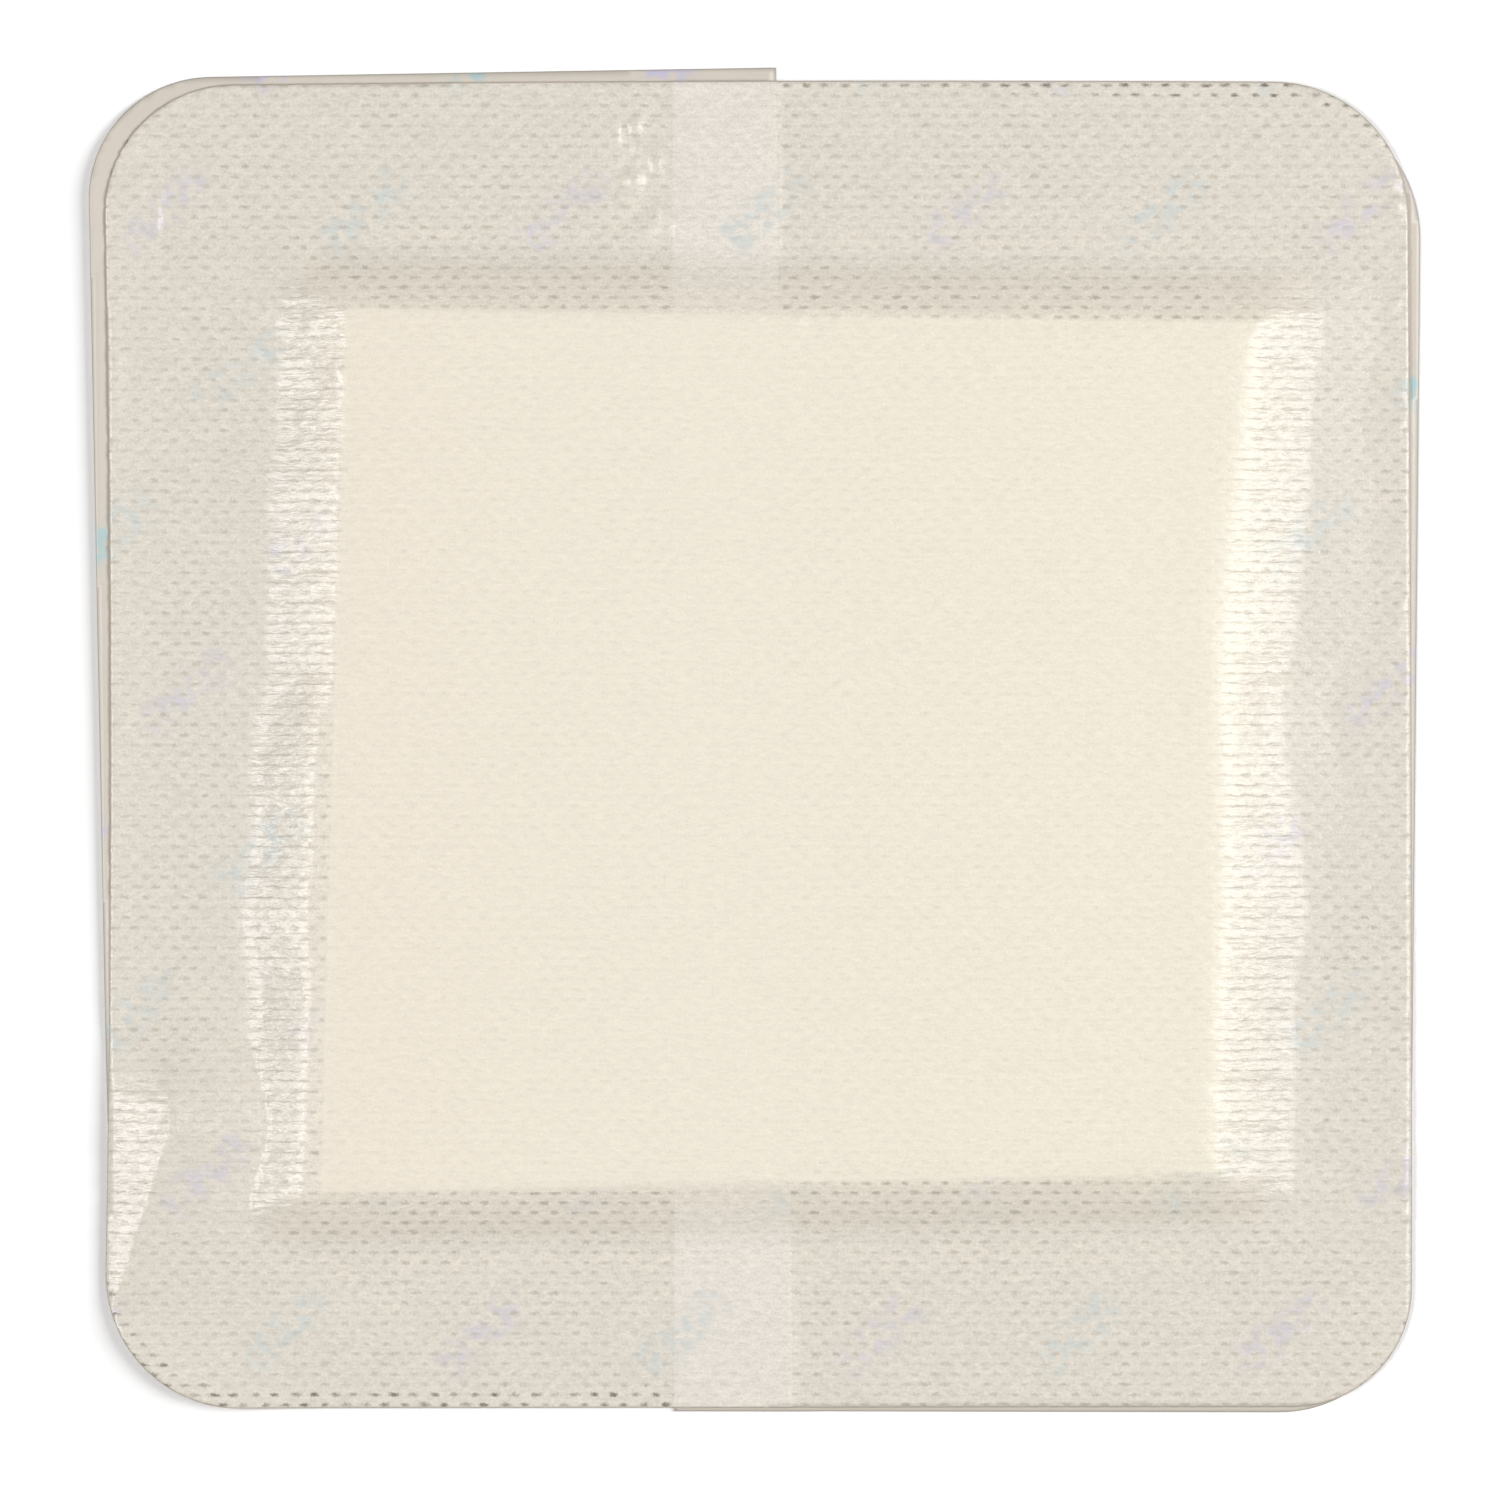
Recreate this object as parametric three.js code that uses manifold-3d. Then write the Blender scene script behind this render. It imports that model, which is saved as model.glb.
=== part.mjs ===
// A bordered foam dressing, lying flat on its release papers as it comes out of its pouch.
// A thin nonwoven backing cover, sticky underneath, is laid over a foam pad and tents down
// from the pad's edges to a flat brim. Two release liners cover the sticky side: the left
// one runs under the right one as a free flap, so that it can be gripped and pulled.
// Millimetres, +Z up. Seen from above, +Y is the top of the dressing and +X its right side.
import * as THREE from 'three';
import { mergeVertices } from 'three/addons/utils/BufferGeometryUtils.js';
import Module from 'manifold-3d';

const wasm = await Module();
wasm.setup();

// Backing cover: a square of nonwoven, hand-laid, so its corners are a little out of square
const COVER_WIDTH = 150.6;
const COVER_LENGTH = 152.9;
const COVER_THICKNESS = 0.25;
const COVER_CORNER_RADII = [14.8, 15.6, 13.8, 15.7];
const COVER_SKEW = {
  topLeft: [0.2, -0.2],
  topRight: [0.0, 0.2],
  bottomRight: [0.5, 0.1],
  bottomLeft: [0.3, -0.1],
};
const COVER_SIDE_BOW = { top: 0.25, right: 0.15, bottom: 0, left: -0.6 };

// Foam pad: its middle lies a little off the cover's middle, and its sides aren't parallel
const PAD_WIDTH = 104.1;
const PAD_LENGTH = 99.8;
const PAD_THICKNESS = 4.0;
const PAD_CORNER_RADIUS = 1.2;
const PAD_EDGE_ROUND = 0.3;
const PAD_OFFSET = [2.9, -0.4];
const PAD_SKEW = {
  topLeft: [1.9, 0.8],
  topRight: [3.0, -1.0],
  bottomRight: [-2.0, 1.2],
  bottomLeft: [-0.9, -1.2],
};

// Release liners: glazed paper, each given by how far its corners show outside the cover's edges
const LINER_THICKNESS = 0.15;
const LEFT_LINER_CORNER_RADII = { top: 14.1, bottom: 15.5 };
const RIGHT_LINER_CORNER_RADII = { top: 16.2, bottom: 15.0 };
const LEFT_LINER_SHOWS = { top: [2.1, 0.7], bottom: [-0.75, -2.2] };
const LEFT_FLAP_PAST_MIDDLE = { top: 2.3, bottom: 4.2 };
const LEFT_FLAP_SHOWS = { top: 1.8, bottom: -2.7 };
const RIGHT_LINER_SHOWS = { top: [1.6, -2.1], bottom: [-0.35, 0.7] };
const RIGHT_EDGE_BEFORE_MIDDLE = { top: 9.6, bottom: 9.4 };
const RIGHT_INNER_SHOWS = { top: -0.8, bottom: 0.4 };
const STEP_DOWN_LENGTH = 4.0;

// How far the cover tents out from each side of the pad before it lies flat on the liners
const TENT_REACH = { left: 8.6, right: 9.2, top: 5.6, bottom: 4.6 };
const TENT_FOOT_ROUND = 0.2;

// Lifted fold in the lower left of the brim, and a faint one at the lower right: where its
// peak lies, in from the cover's side and up from its bottom, and how far it runs each way
const FOLDS = [
  { side: -1, height: 1.9, peak: [7.7, 32.5], reach: { out: 7.9, in: 11, up: 6, down: 20 } },
  { side: 1, height: 0.5, peak: [19, 7.5], reach: { out: 7, in: 5, up: 6, down: 8 } },
];

// Pieces lie on each other with this much room, so that none cuts into its neighbour
const LAY_GAP = 0.05;

// Lines of the draped sheet's grid
const BRIM_LINES = 5;
const TENT_LINES = 4;
const PAD_COLUMNS = 6;
const PAD_ROWS = 12;
const CURVE_SEGMENTS = 7;
const EDGE_ROUND_STEPS = 2;
const PAST_EDGE = 6;

// Heights, each worked out from what lies underneath
const overlapTop = 2 * LINER_THICKNESS + LAY_GAP;
const padUnderside = overlapTop + LAY_GAP;
const padTop = padUnderside + PAD_THICKNESS;
const brimUnderside = overlapTop + LAY_GAP;
const coverRise = padTop + LAY_GAP - brimUnderside;

// Half the size of the sheets' grids, which reach past the cover's edge before they are cut
const sheetFrame = new THREE.Vector2(COVER_WIDTH / 2 + PAST_EDGE, COVER_LENGTH / 2 + PAST_EDGE);

const SIDES = ['top', 'right', 'bottom', 'left'];
const CORNERS = ['topLeft', 'topRight', 'bottomRight', 'bottomLeft'];

// Four corners of a rectangle about a centre, each moved by its own small skew
function skewedRectangle(width, length, [cx, cy], skew) {
  const square = {
    topLeft: [-width / 2, length / 2],
    topRight: [width / 2, length / 2],
    bottomRight: [width / 2, -length / 2],
    bottomLeft: [-width / 2, -length / 2],
  };
  return CORNERS.map((name) => {
    const [x, y] = square[name];
    const [dx, dy] = skew[name];
    return new THREE.Vector2(cx + x + dx, cy + y + dy);
  });
}

// Closed outline through four corners, clockwise from the top left. Each corner has its own
// radius, where 0 is square, and each side may bow outward by a small amount.
function panelOutline(corners, radii, bows = {}) {
  const arcHandle = 0.5523;
  const shape = new THREE.Shape();
  const toward = (from, to, distance) => {
    const way = to.clone().sub(from).normalize();
    return from.clone().addScaledVector(way, distance);
  };
  corners.forEach((corner, k) => {
    const before = corners[(k + 3) % 4];
    const after = corners[(k + 1) % 4];
    const arcStart = toward(corner, before, radii[k]);
    const arcEnd = toward(corner, after, radii[k]);
    if (k === 0) shape.moveTo(arcStart.x, arcStart.y);
    if (radii[k] > 0) {
      const handle = radii[k] * (1 - arcHandle);
      const first = toward(corner, before, handle);
      const second = toward(corner, after, handle);
      shape.bezierCurveTo(first.x, first.y, second.x, second.y, arcEnd.x, arcEnd.y);
    }
    const sideEnd = toward(after, corner, radii[(k + 1) % 4]);
    const bow = bows[SIDES[k]] ?? 0;
    if (bow === 0) {
      shape.lineTo(sideEnd.x, sideEnd.y);
    } else {
      const along = sideEnd.clone().sub(arcEnd).normalize();
      const control = arcEnd.clone().add(sideEnd).multiplyScalar(0.5);
      control.add(new THREE.Vector2(-along.y, along.x).multiplyScalar(2 * bow));
      shape.quadraticCurveTo(control.x, control.y, sideEnd.x, sideEnd.y);
    }
  });
  return shape;
}

function plate(outline, depth, bevel = 0) {
  const geometry = new THREE.ExtrudeGeometry(outline, {
    depth: depth - 2 * bevel,
    curveSegments: CURVE_SEGMENTS,
    bevelEnabled: bevel > 0,
    bevelThickness: bevel,
    bevelSize: bevel,
    bevelOffset: -bevel,
    bevelSegments: EDGE_ROUND_STEPS,
  });
  return geometry.translate(0, 0, bevel);
}

// Closed solid from a geometry, with its shared points merged, and the way back
function solidOf(geometry) {
  const bare = geometry.clone();
  bare.deleteAttribute('normal');
  bare.deleteAttribute('uv');
  const merged = mergeVertices(bare);
  return new wasm.Manifold(new wasm.Mesh({
    numProp: 3,
    vertProperties: new Float32Array(merged.attributes.position.array),
    triVerts: new Uint32Array(merged.index.array),
  }));
}

function geometryOf(solid) {
  const mesh = solid.getMesh();
  const geometry = new THREE.BufferGeometry();
  geometry.setAttribute('position', new THREE.BufferAttribute(new Float32Array(mesh.vertProperties), 3));
  geometry.setIndex(new THREE.BufferAttribute(new Uint32Array(mesh.triVerts), 1));
  return geometry;
}

// Signed distance from a point to the line through a and b, positive on its left
function offLine(x, y, a, b) {
  const length = a.distanceTo(b);
  return ((b.x - a.x) * (y - a.y) - (b.y - a.y) * (x - a.x)) / length;
}

// Thin sheet with its underside at a given height. Its grid's columns and rows are straight
// lines, each given by its two ends on the frame, so that they can follow a skewed edge.
function drapedSheet(columns, rows, underside, thickness) {
  const across = columns.length - 1;
  const along = rows.length - 1;
  const geometry = new THREE.BoxGeometry(across, along, 1, across, along, 1);
  const position = geometry.attributes.position;
  for (let n = 0; n < position.count; n += 1) {
    const [xTop, xBottom] = columns[Math.round(position.getX(n) + across / 2)];
    const [yLeft, yRight] = rows[Math.round(position.getY(n) + along / 2)];
    const lean = (xTop - xBottom) / (2 * sheetFrame.y);
    const tilt = (yRight - yLeft) / (2 * sheetFrame.x);
    const xMiddle = (xTop + xBottom) / 2;
    const yMiddle = (yLeft + yRight) / 2;
    const y = (yMiddle + tilt * xMiddle) / (1 - tilt * lean);
    const x = xMiddle + lean * y;
    const top = position.getZ(n) > 0 ? thickness : 0;
    position.setXYZ(n, x, y, underside(x, y) + top);
  }
  return solidOf(geometry);
}

function cutToOutline(sheet, outline) {
  const prism = solidOf(plate(outline, padTop + PAST_EDGE).translate(0, 0, -PAST_EDGE / 2));
  return sheet.intersect(prism);
}

// Corners of the four pieces
const coverCorners = skewedRectangle(COVER_WIDTH, COVER_LENGTH, [0, 0], COVER_SKEW);
const padCorners = skewedRectangle(PAD_WIDTH, PAD_LENGTH, PAD_OFFSET, PAD_SKEW);
const [coverTL, coverTR, coverBR, coverBL] = coverCorners;
const coverTopAt = (x) => THREE.MathUtils.mapLinear(x, coverTL.x, coverTR.x, coverTL.y, coverTR.y);
const coverBottomAt = (x) => THREE.MathUtils.mapLinear(x, coverBL.x, coverBR.x, coverBL.y, coverBR.y);
const point = (x, y) => new THREE.Vector2(x, y);

const leftFlap = LEFT_FLAP_PAST_MIDDLE;
const leftLinerCorners = [
  point(coverTL.x - LEFT_LINER_SHOWS.top[0], coverTL.y + LEFT_LINER_SHOWS.top[1]),
  point(leftFlap.top, coverTopAt(leftFlap.top) + LEFT_FLAP_SHOWS.top),
  point(leftFlap.bottom, coverBottomAt(leftFlap.bottom) - LEFT_FLAP_SHOWS.bottom),
  point(coverBL.x - LEFT_LINER_SHOWS.bottom[0], coverBL.y - LEFT_LINER_SHOWS.bottom[1]),
];
const rightInner = { top: -RIGHT_EDGE_BEFORE_MIDDLE.top, bottom: -RIGHT_EDGE_BEFORE_MIDDLE.bottom };
const rightLinerCorners = [
  point(rightInner.top, coverTopAt(rightInner.top) + RIGHT_INNER_SHOWS.top),
  point(coverTR.x + RIGHT_LINER_SHOWS.top[0], coverTR.y + RIGHT_LINER_SHOWS.top[1]),
  point(coverBR.x + RIGHT_LINER_SHOWS.bottom[0], coverBR.y - RIGHT_LINER_SHOWS.bottom[1]),
  point(rightInner.bottom, coverBottomAt(rightInner.bottom) - RIGHT_INNER_SHOWS.bottom),
];

// Share of the cover's full rise at a point: 1 over the pad, easing to 0 at the tent's foot
const tentFootTail = Math.hypot(1, TENT_FOOT_ROUND);
function tentShare(x, y) {
  const [topLeft, topRight, bottomRight, bottomLeft] = padCorners;
  const sideways = Math.max(
    0,
    offLine(x, y, bottomLeft, topLeft) / TENT_REACH.left,
    offLine(x, y, topRight, bottomRight) / TENT_REACH.right,
  );
  const lengthways = Math.max(
    0,
    offLine(x, y, topLeft, topRight) / TENT_REACH.top,
    offLine(x, y, bottomRight, bottomLeft) / TENT_REACH.bottom,
  );
  const left = 1 - Math.hypot(sideways, lengthways);
  return (left + Math.hypot(left, TENT_FOOT_ROUND)) / (1 + tentFootTail);
}

// A fold is a low pyramid that runs out to the cover's side
function foldRise(x, y) {
  let rise = 0;
  for (const fold of FOLDS) {
    const [inward, upFromBottom] = fold.peak;
    const outward = x * fold.side - (COVER_WIDTH / 2 - inward);
    const upward = y + COVER_LENGTH / 2 - upFromBottom;
    const across = outward > 0 ? outward / fold.reach.out : -outward / fold.reach.in;
    const along = upward > 0 ? upward / fold.reach.up : -upward / fold.reach.down;
    rise += fold.height * Math.max(0, 1 - across - along);
  }
  return rise;
}

function coverUnderside(x, y) {
  return brimUnderside + Math.max(coverRise * tentShare(x, y), foldRise(x, y));
}

// Lines between the cover's edge, the tent's foot and the pad's edge, as shares of the way
function linesBetween(from, to, count, includeLast = true) {
  const lines = [];
  for (let k = 0; k < count + (includeLast ? 1 : 0); k += 1) {
    lines.push(from.map((value, end) => THREE.MathUtils.lerp(value, to[end], k / count)));
  }
  return lines;
}

// Where the line through a and b, shifted sideways, meets the frame's two far sides
function columnThrough(a, b, shift) {
  const at = (y) => THREE.MathUtils.mapLinear(y, a.y, b.y, a.x, b.x) + shift;
  return [at(sheetFrame.y), at(-sheetFrame.y)];
}

function rowThrough(a, b, shift) {
  const at = (x) => THREE.MathUtils.mapLinear(x, a.x, b.x, a.y, b.y) + shift;
  return [at(-sheetFrame.x), at(sheetFrame.x)];
}

function buildCover() {
  const { x: frameX, y: frameY } = sheetFrame;
  const [topLeft, topRight, bottomRight, bottomLeft] = padCorners;
  const padLeft = columnThrough(topLeft, bottomLeft, 0);
  const padRight = columnThrough(topRight, bottomRight, 0);
  const footLeft = columnThrough(topLeft, bottomLeft, -TENT_REACH.left);
  const footRight = columnThrough(topRight, bottomRight, TENT_REACH.right);
  const columns = [
    ...linesBetween([-frameX, -frameX], footLeft, BRIM_LINES, false),
    ...linesBetween(footLeft, padLeft, TENT_LINES, false),
    ...linesBetween(padLeft, padRight, PAD_COLUMNS, false),
    ...linesBetween(padRight, footRight, TENT_LINES, false),
    ...linesBetween(footRight, [frameX, frameX], BRIM_LINES),
  ];
  const padBottomRow = rowThrough(bottomLeft, bottomRight, 0);
  const padTopRow = rowThrough(topLeft, topRight, 0);
  const footBottom = rowThrough(bottomLeft, bottomRight, -TENT_REACH.bottom);
  const footTop = rowThrough(topLeft, topRight, TENT_REACH.top);
  const rows = [
    ...linesBetween([-frameY, -frameY], footBottom, BRIM_LINES, false),
    ...linesBetween(footBottom, padBottomRow, TENT_LINES, false),
    ...linesBetween(padBottomRow, padTopRow, PAD_ROWS, false),
    ...linesBetween(padTopRow, footTop, TENT_LINES, false),
    ...linesBetween(footTop, [frameY, frameY], BRIM_LINES),
  ];
  const sheet = drapedSheet(columns, rows, coverUnderside, COVER_THICKNESS);
  return geometryOf(cutToOutline(sheet, panelOutline(coverCorners, COVER_CORNER_RADII, COVER_SIDE_BOW)));
}

function buildPad() {
  const radii = CORNERS.map(() => PAD_CORNER_RADIUS);
  return plate(panelOutline(padCorners, radii), PAD_THICKNESS, PAD_EDGE_ROUND);
}

function buildLeftLiner() {
  const radii = [LEFT_LINER_CORNER_RADII.top, 0, 0, LEFT_LINER_CORNER_RADII.bottom];
  return plate(panelOutline(leftLinerCorners, radii), LINER_THICKNESS);
}

// The right liner lies on the left one's flap, then steps down past the flap's free edge
function buildRightLiner() {
  const { x: frameX, y: frameY } = sheetFrame;
  const [, flapTop, flapBottom] = leftLinerCorners;
  const flapEdge = columnThrough(flapTop, flapBottom, LAY_GAP);
  const stepEnd = columnThrough(flapTop, flapBottom, STEP_DOWN_LENGTH);
  const columns = [
    [-frameX, -frameX],
    ...linesBetween(flapEdge, stepEnd, TENT_LINES),
    [frameX, frameX],
  ];
  const rows = [[-frameY, -frameY], [frameY, frameY]];
  const onFlap = LINER_THICKNESS + LAY_GAP;
  const underside = (x, y) => {
    const past = offLine(x, y, flapTop, flapBottom) - LAY_GAP;
    return onFlap * (1 - THREE.MathUtils.smoothstep(past, 0, STEP_DOWN_LENGTH - LAY_GAP));
  };
  const sheet = drapedSheet(columns, rows, underside, LINER_THICKNESS);
  const radii = [0, RIGHT_LINER_CORNER_RADII.top, RIGHT_LINER_CORNER_RADII.bottom, 0];
  return geometryOf(cutToOutline(sheet, panelOutline(rightLinerCorners, radii)));
}

const nonwoven = new THREE.MeshStandardMaterial({ color: 0xe4ddd2, roughness: 0.5, metalness: 0 });
const foam = new THREE.MeshStandardMaterial({ color: 0xefe8d4, roughness: 0.9, metalness: 0 });
const glazedPaper = new THREE.MeshStandardMaterial({ color: 0xdcd6cc, roughness: 0.4, metalness: 0 });

const dressing = new THREE.Group();
function addPiece(name, geometry, material, height = 0) {
  const mesh = new THREE.Mesh(geometry, material);
  mesh.name = name;
  mesh.position.z = height;
  dressing.add(mesh);
}

addPiece('backing_cover', buildCover(), nonwoven);
addPiece('foam_pad', buildPad(), foam, padUnderside);
addPiece('liner_right', buildRightLiner(), glazedPaper);
addPiece('liner_left', buildLeftLiner(), glazedPaper);

// The origin is the middle of the whole footprint, on the surface that the dressing lies on
const reach = new THREE.Box3().setFromObject(dressing);
const middle = reach.getCenter(new THREE.Vector3());
dressing.position.set(-middle.x, -middle.y, -reach.min.z);

export default dressing;
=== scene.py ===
# %% [markdown]
# # A bordered foam dressing
# A wound dressing lies flat on its release papers, as it comes out of its pouch. It has four
# pieces: a thin nonwoven backing cover that is sticky underneath, a foam pad in its middle,
# and two release papers that shield the sticky side until the dressing is used.
# Blender gives these pieces their surfaces. Their sizes come from the CAD model, which loads
# first as a fixed frame, so the corners below repeat the CAD's own numbers.

# %% Load the frame
import math

import bpy
import numpy as np
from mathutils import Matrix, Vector


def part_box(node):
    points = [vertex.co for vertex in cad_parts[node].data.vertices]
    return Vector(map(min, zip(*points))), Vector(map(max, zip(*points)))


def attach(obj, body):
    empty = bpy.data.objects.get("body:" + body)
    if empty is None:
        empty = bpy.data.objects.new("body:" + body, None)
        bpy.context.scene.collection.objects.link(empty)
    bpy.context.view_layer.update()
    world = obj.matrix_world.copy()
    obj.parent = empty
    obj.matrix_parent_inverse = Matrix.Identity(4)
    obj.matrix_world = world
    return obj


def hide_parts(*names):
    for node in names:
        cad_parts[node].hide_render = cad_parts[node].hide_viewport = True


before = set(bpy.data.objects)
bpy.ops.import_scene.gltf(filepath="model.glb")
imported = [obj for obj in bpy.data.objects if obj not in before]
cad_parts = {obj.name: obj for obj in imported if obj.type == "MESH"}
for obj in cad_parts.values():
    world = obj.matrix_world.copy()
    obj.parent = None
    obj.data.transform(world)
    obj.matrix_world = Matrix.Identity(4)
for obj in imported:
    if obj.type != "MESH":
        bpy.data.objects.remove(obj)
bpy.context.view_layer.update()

MM = 0.001

# %% [markdown]
# ## Camera
# The photograph looks straight down at the dressing with almost no perspective. A long lens a
# metre away does that. The width of the view is a real size, so the lens follows from it.

# %% Camera
VIEW_WIDTH = 0.17325
CAMERA_HEIGHT = 1.0
SENSOR = 36.0
# The photograph's middle lies this far, in metres, from the middle of the CAD box
CAMERA_OVER = (-0.00058, -0.00116)

camera_data = bpy.data.cameras.new("copy_stand_camera")
camera_data.sensor_width = SENSOR
camera_data.lens = SENSOR * CAMERA_HEIGHT / VIEW_WIDTH
camera_data.clip_start = 0.01
camera = bpy.data.objects.new("copy_stand_camera", camera_data)
camera.location = (*CAMERA_OVER, CAMERA_HEIGHT)
bpy.context.scene.collection.objects.link(camera)
bpy.context.scene.camera = camera
bpy.context.scene.view_settings.view_transform = "Standard"
print("lens in mm:", round(camera_data.lens, 1))

# %% [markdown]
# ## Light
# Flat goods are photographed on a copy stand: a soft box on each side at about 45 degrees, so
# that the light rakes over the surface and no lamp is mirrored by the flat parts. A slope that
# leans towards a box mirrors it instead, which is what makes the two sides of the pad shine.
# The right box is taller and stronger, so its shine is the broader one and the soft shadow
# falls to the left.

# %% Soft boxes and surroundings
def aim(thing, target):
    way = Vector(target) - thing.location
    thing.rotation_mode = "QUATERNION"
    thing.rotation_quaternion = way.to_track_quat("-Z", "Y")


SOFT_BOXES = {
    "soft_box_right": {"at": (0.72, 0.08, 0.72), "size": (0.5, 0.7), "watts": 8.0},
    "soft_box_left": {"at": (-0.72, -0.1, 0.72), "size": (0.5, 0.38), "watts": 5.8},
}
for name, box in SOFT_BOXES.items():
    lamp = bpy.data.lights.new(name, "AREA")
    lamp.shape = "RECTANGLE"
    lamp.size, lamp.size_y = box["size"]
    lamp.energy = box["watts"]
    holder = bpy.data.objects.new(name, lamp)
    holder.location = box["at"]
    aim(holder, (0, 0, 0))
    bpy.context.scene.collection.objects.link(holder)
    print(name, "at", box["at"], "watts", box["watts"])

# %% [markdown]
# ## Nodes and colours
# Every material is a small tree of nodes. One function adds a node, sets it and links it.
# Colours are written as the sRGB hex values that a colour picker shows, and one function
# turns them into the linear values that Blender calculates with.

# %% Helpers for nodes and colours
def add(tree, kind, inputs=(), out=0, **settings):
    """Adds a node, fills or links its inputs, and gives one of its outputs, or the node itself"""
    node = tree.nodes.new(kind)
    for name, value in settings.items():
        setattr(node, name, value)
    pairs = inputs.items() if isinstance(inputs, dict) else enumerate(inputs)
    for key, value in pairs:
        if isinstance(value, bpy.types.NodeSocket):
            tree.links.new(value, node.inputs[key])
        else:
            node.inputs[key].default_value = value
    return node if out is None else node.outputs[out]


def linear(hex_colour):
    """sRGB hex to linear RGBA"""
    parts = [int(hex_colour[k:k + 2], 16) / 255 for k in (1, 3, 5)]
    curve = [p / 12.92 if p <= 0.04045 else ((p + 0.055) / 1.055) ** 2.4 for p in parts]
    return (*curve, 1.0)


def empty_material(name):
    material = bpy.data.materials.new(name)
    material.use_nodes = True
    material.node_tree.nodes.clear()
    return material


MATH = "ShaderNodeMath"
RAMP = "ShaderNodeMapRange"
BLEND = "ShaderNodeMix"
# A Mix node has sockets for each kind of data. For colours these are the share, the colour at
# share 0, the colour at share 1, and the output that carries the mixed colour.
SHARE, NONE, FULL = 0, 6, 7
IN_COLOUR = {"out": 2, "data_type": "RGBA"}
print("paper white in linear light:", [round(c, 3) for c in linear("#DAD3C7")])

# %% [markdown]
# ## White table
# The dressing lies on a white sweep. Its paint takes the light and the shadow like any white
# thing. A little white is added only where the camera or a mirror looks at it, which lifts it
# to the pure white of a product picture and puts no extra light on the dressing.

# %% Table and surroundings
TABLE_WHITE = "#FAFAFA"
TABLE_LIFT = 0.05
AMBIENT = 0.18
TABLE_HALF = 3


def seen_directly(tree):
    """1 for rays from the camera, a mirror or through glass, else 0"""
    path = add(tree, "ShaderNodeLightPath", out=None)
    rays = [path.outputs["Is Camera Ray"], path.outputs["Is Glossy Ray"]]
    seen = add(tree, MATH, rays, operation="MAXIMUM")
    return add(tree, MATH, [seen, path.outputs["Is Transmission Ray"]], operation="MAXIMUM")


table_paint = empty_material("matt_white_table_paint")
tree = table_paint.node_tree
paint = add(tree, "ShaderNodeBsdfDiffuse", {"Color": linear(TABLE_WHITE)})
lift = add(tree, MATH, [seen_directly(tree), TABLE_LIFT], operation="MULTIPLY")
glow = add(tree, "ShaderNodeEmission", {"Strength": lift})
lifted_paint = add(tree, "ShaderNodeAddShader", [paint, glow])
add(tree, "ShaderNodeOutputMaterial", {"Surface": lifted_paint}, out=None)

table_corners = [(TABLE_HALF * x, TABLE_HALF * y, 0) for x, y in ((-1, -1), (1, -1), (1, 1), (-1, 1))]
table_mesh = bpy.data.meshes.new("table")
table_mesh.from_pydata(table_corners, [], [(0, 1, 2, 3)])
table_mesh.materials.append(table_paint)
table = bpy.data.objects.new("table", table_mesh)
bpy.context.scene.collection.objects.link(table)

world = bpy.data.worlds.new("studio")
world.use_nodes = True
bpy.context.scene.world = world
tree = world.node_tree
tree.nodes.clear()
strength = add(tree, RAMP, {"Value": seen_directly(tree), "To Min": AMBIENT, "To Max": 1.0})
sky = add(tree, "ShaderNodeBackground", {"Color": (1, 1, 1, 1), "Strength": strength})
add(tree, "ShaderNodeOutputWorld", {"Surface": sky}, out=None)
print("table is", 2 * TABLE_HALF, "m wide, light from all round", AMBIENT)

# %% [markdown]
# ## Outlines
# All four pieces are die-cut panels. Each outline runs clockwise through four corners, with a
# radius at each corner and a slight bow along some sides. These are the CAD's own numbers in
# millimetres. The cover's box in the frame tells how far the CAD moved its origin.

# %% Corners and outlines in millimetres
ARC_HANDLE = 0.5523
CORNER_STEPS = 24
SIDE_STEPS = 12


def skewed_rectangle(width, length, middle, skew):
    square = np.array([[-1, 1], [1, 1], [1, -1], [-1, -1]]) * (width / 2, length / 2)
    return square + middle + np.array(skew)


def toward(start, end, distance):
    return start + (end - start) / np.linalg.norm(end - start) * distance


def panel_outline(corners, radii, bows=(0, 0, 0, 0)):
    points = []
    for k, corner in enumerate(corners):
        before = corners[k - 1]
        after = corners[(k + 1) % 4]
        start = toward(corner, before, radii[k])
        end = toward(corner, after, radii[k])
        if radii[k] == 0:
            points.append(corner)
        else:
            handle = radii[k] * (1 - ARC_HANDLE)
            first = toward(corner, before, handle)
            second = toward(corner, after, handle)
            t = np.linspace(0, 1, CORNER_STEPS)[:, None]
            arc = start * (1 - t) ** 3 + first * 3 * t * (1 - t) ** 2
            points.extend(arc + second * 3 * t ** 2 * (1 - t) + end * t ** 3)
        side_end = toward(after, corner, radii[(k + 1) % 4])
        along = (side_end - end) / np.linalg.norm(side_end - end)
        bulge = (end + side_end) / 2 + np.array([-along[1], along[0]]) * 2 * bows[k]
        t = np.linspace(0, 1, SIDE_STEPS)[1:-1, None]
        points.extend(end * (1 - t) ** 2 + bulge * 2 * t * (1 - t) + side_end * t ** 2)
    return np.array(points)


COVER_RADII = (14.8, 15.6, 13.8, 15.7)
COVER_BOWS = (0.25, 0.15, 0, -0.6)
COVER_SKEW = [(0.2, -0.2), (0, 0.2), (0.5, 0.1), (0.3, -0.1)]
PAD_RADII = (1.2, 1.2, 1.2, 1.2)
PAD_SKEW = [(1.9, 0.8), (3.0, -1.0), (-2.0, 1.2), (-0.9, -1.2)]
LEFT_RADII = (14.1, 0, 0, 15.5)
RIGHT_RADII = (0, 16.2, 15.0, 0)
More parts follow.
